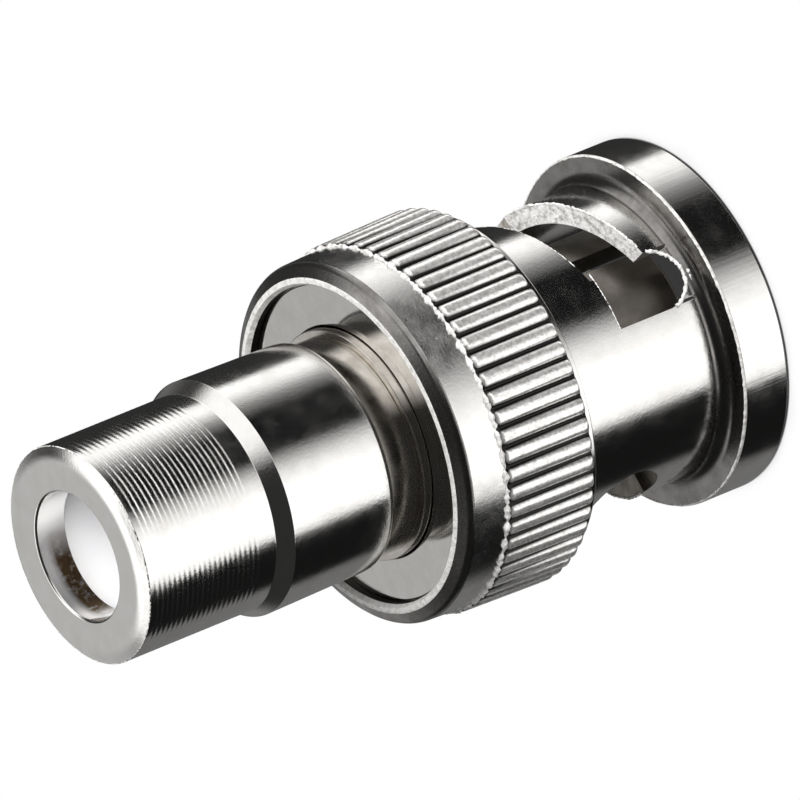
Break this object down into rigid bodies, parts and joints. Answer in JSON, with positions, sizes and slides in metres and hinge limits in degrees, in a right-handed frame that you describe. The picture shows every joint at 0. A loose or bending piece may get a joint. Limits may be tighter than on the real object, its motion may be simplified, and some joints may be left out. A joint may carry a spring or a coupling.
{
  "type": "bayonet plug to phono socket adapter",
  "caption": "Nickel-plated coaxial adapter: a bayonet plug with a knurled turning coupling nut on one end and a phono socket with a white insulator on the other.",
  "frame": {"origin": "centre of the coupling nut's mouth, in the plane of its front face", "axes": "+Z along the common axis towards the phono face; +X is the side of the first detent that the picture shows at the top"},
  "size_m": [0.0144, 0.0144, 0.0273],
  "materials": {
    "bright_nickel": "bright nickel plate over turned brass",
    "satin_nickel": "satin nickel plate over turned brass",
    "gold_plate": "thin gold plate over spring brass",
    "white_plastic": "translucent white moulded plastic",
    "seal_rubber": "red silicone rubber",
    "spring_steel": "rolled spring steel strip"
  },
  "bodies": {
    "adapter_body": {"phono_shell": "bright_nickel", "phono_insulator": "white_plastic", "phono_contact": "gold_plate", "plug_body": "satin_nickel", "spring_sleeve": "satin_nickel", "plug_insulator": "white_plastic", "centre_pin": "gold_plate", "seal_ring": "seal_rubber", "wave_washer": "spring_steel"},
    "washer": {"back_washer": "satin_nickel"},
    "nut": {"coupling_nut": "bright_nickel"}
  },
  "joints": [
    {"name": "nut_float", "type": "slide", "parent": "adapter_body", "child": "washer", "axis": [0, 0, -1], "range_m": [0, 0.0006], "stiffness_N_per_m": 4000, "springref_m": -0.0004, "deforming": ["wave_washer"]},
    {"name": "nut_turn", "type": "hinge", "parent": "washer", "child": "nut", "pos_m": [0, 0, 0.0138], "axis": [0, 0, 1], "continuous": true}
  ]
}
